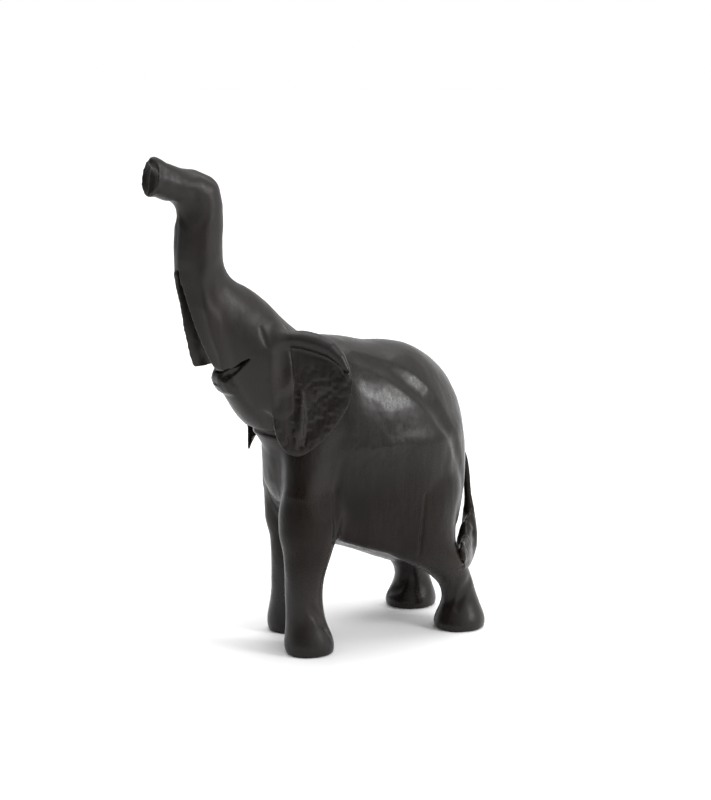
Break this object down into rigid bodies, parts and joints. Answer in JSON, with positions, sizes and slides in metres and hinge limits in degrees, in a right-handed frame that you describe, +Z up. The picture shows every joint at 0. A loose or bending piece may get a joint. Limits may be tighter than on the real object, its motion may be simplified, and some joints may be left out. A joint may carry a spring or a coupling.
{
  "type": "elephant figurine",
  "caption": "Standing elephant ornament carved in dark waxed hardwood, trunk raised and curled forward at the tip, ears spread, tail free of the rump, resting on flat soles.",
  "frame": {"origin": "on the ground, under the centre of the bounding box", "axes": "+Z up, the animal faces -Y, its left side is towards +X"},
  "size_m": [0.0938, 0.2102, 0.2875],
  "materials": {
    "dark_waxed_wood": "hand carved hardwood, stained near black and waxed to a soft sheen"
  },
  "bodies": {
    "root": {"body": "dark_waxed_wood", "left_ear": "dark_waxed_wood", "right_ear": "dark_waxed_wood", "tail": "dark_waxed_wood"}
  },
  "joints": []
}
